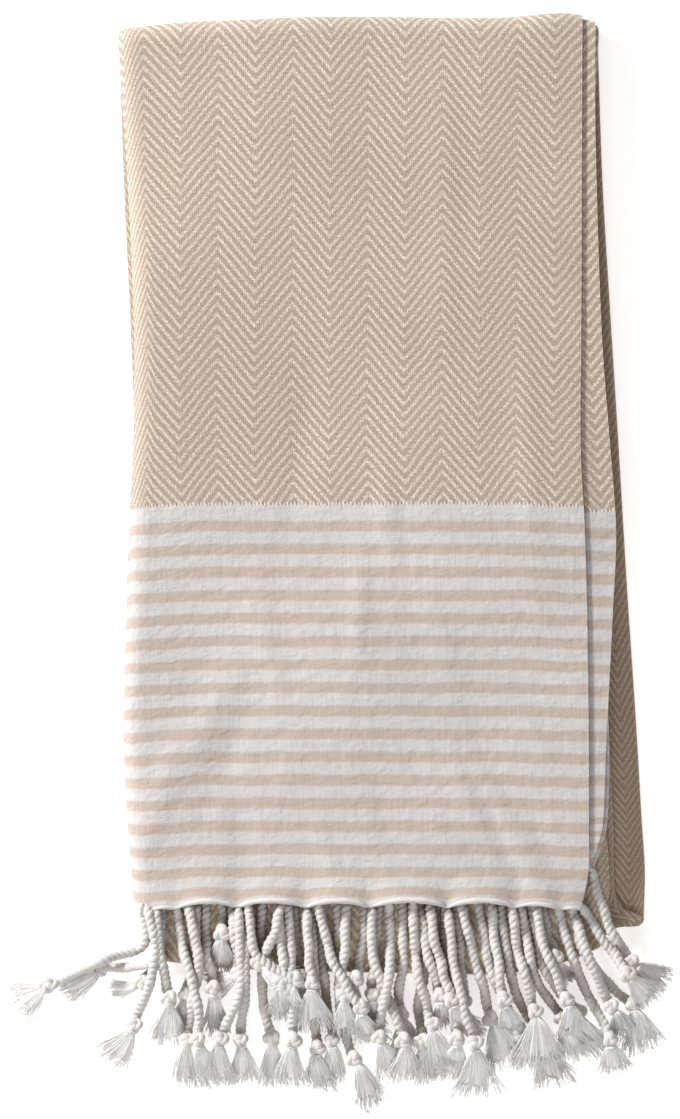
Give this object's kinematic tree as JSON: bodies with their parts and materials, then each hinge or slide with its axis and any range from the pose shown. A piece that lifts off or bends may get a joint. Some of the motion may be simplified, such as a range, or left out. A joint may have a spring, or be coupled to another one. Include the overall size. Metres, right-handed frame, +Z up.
{
  "type": "hammam towel",
  "caption": "Cotton hammam towel with a beige herringbone body, a striped band and knotted cord fringe, folded and lying flat.",
  "frame": {"origin": "centre of the towel's outline on the surface it lies on", "axes": "+X across the folded towel, +Y along it towards its top fold, away from the fringe, +Z up"},
  "size_m": [0.3648, 0.6036, 0.0218],
  "materials": {
    "cloth": "matt woven cotton, beige herringbone with a white and beige striped band",
    "yarn": "matt twisted cotton yarn, natural white"
  },
  "bodies": {
    "root": {"towel_cloth": "cloth", "front_fringe": "yarn", "inner_fringe": "yarn"}
  },
  "joints": []
}
